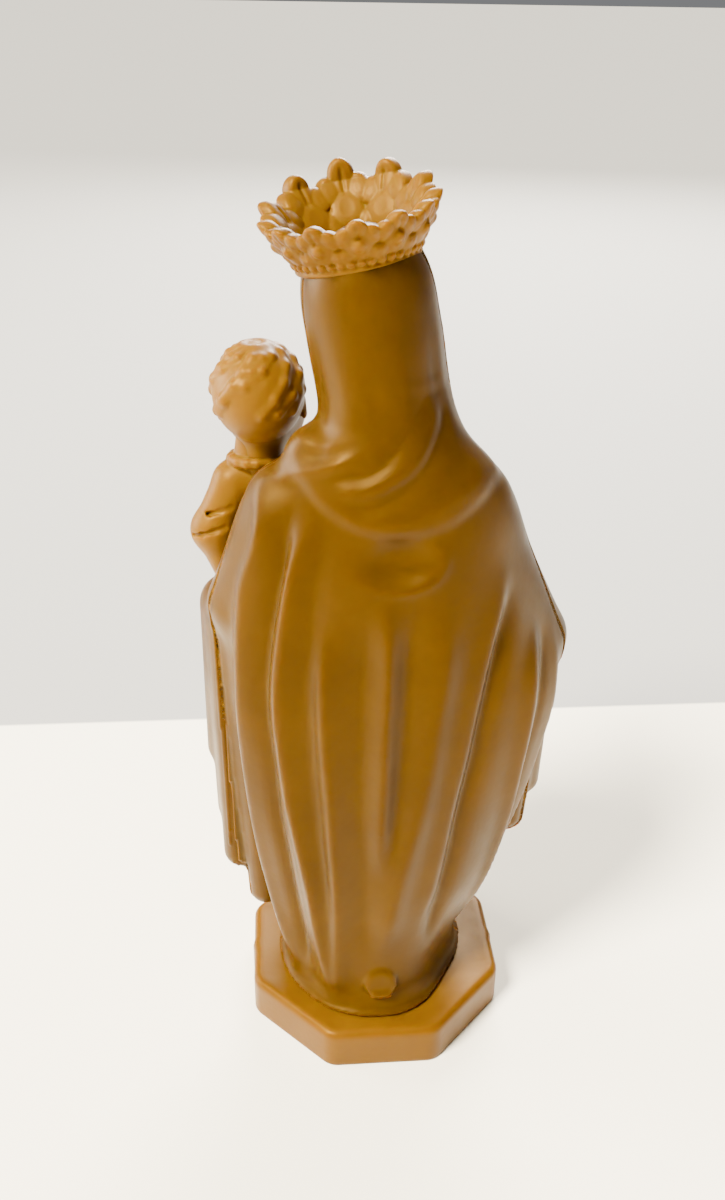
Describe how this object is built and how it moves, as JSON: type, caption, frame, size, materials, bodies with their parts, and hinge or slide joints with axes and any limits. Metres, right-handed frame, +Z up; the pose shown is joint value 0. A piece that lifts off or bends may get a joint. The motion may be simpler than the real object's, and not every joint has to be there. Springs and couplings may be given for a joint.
{
  "type": "madonna statue",
  "caption": "Small moulded-plastic devotional figure of a crowned, cloaked Madonna with the Child on her left arm, on a low eight-sided plinth.",
  "frame": {"origin": "middle of the plinth's underside", "axes": "+Z up the figure, -Y the way she faces, +X to her left, the side of the Child"},
  "size_m": [0.0371, 0.0279, 0.0875],
  "materials": {
    "plinth_plastic": "satin, amber, slightly translucent",
    "figure_plastic": "satin, amber, slightly translucent",
    "small_parts_plastic": "satin, amber, slightly translucent"
  },
  "bodies": {
    "root": {"plinth": "plinth_plastic", "plinth_cover": "plinth_plastic", "back_shell": "figure_plastic", "front_shell": "figure_plastic", "crown": "small_parts_plastic", "child_body": "small_parts_plastic", "child_head": "small_parts_plastic", "right_hand": "small_parts_plastic", "left_hand": "small_parts_plastic"}
  },
  "joints": []
}
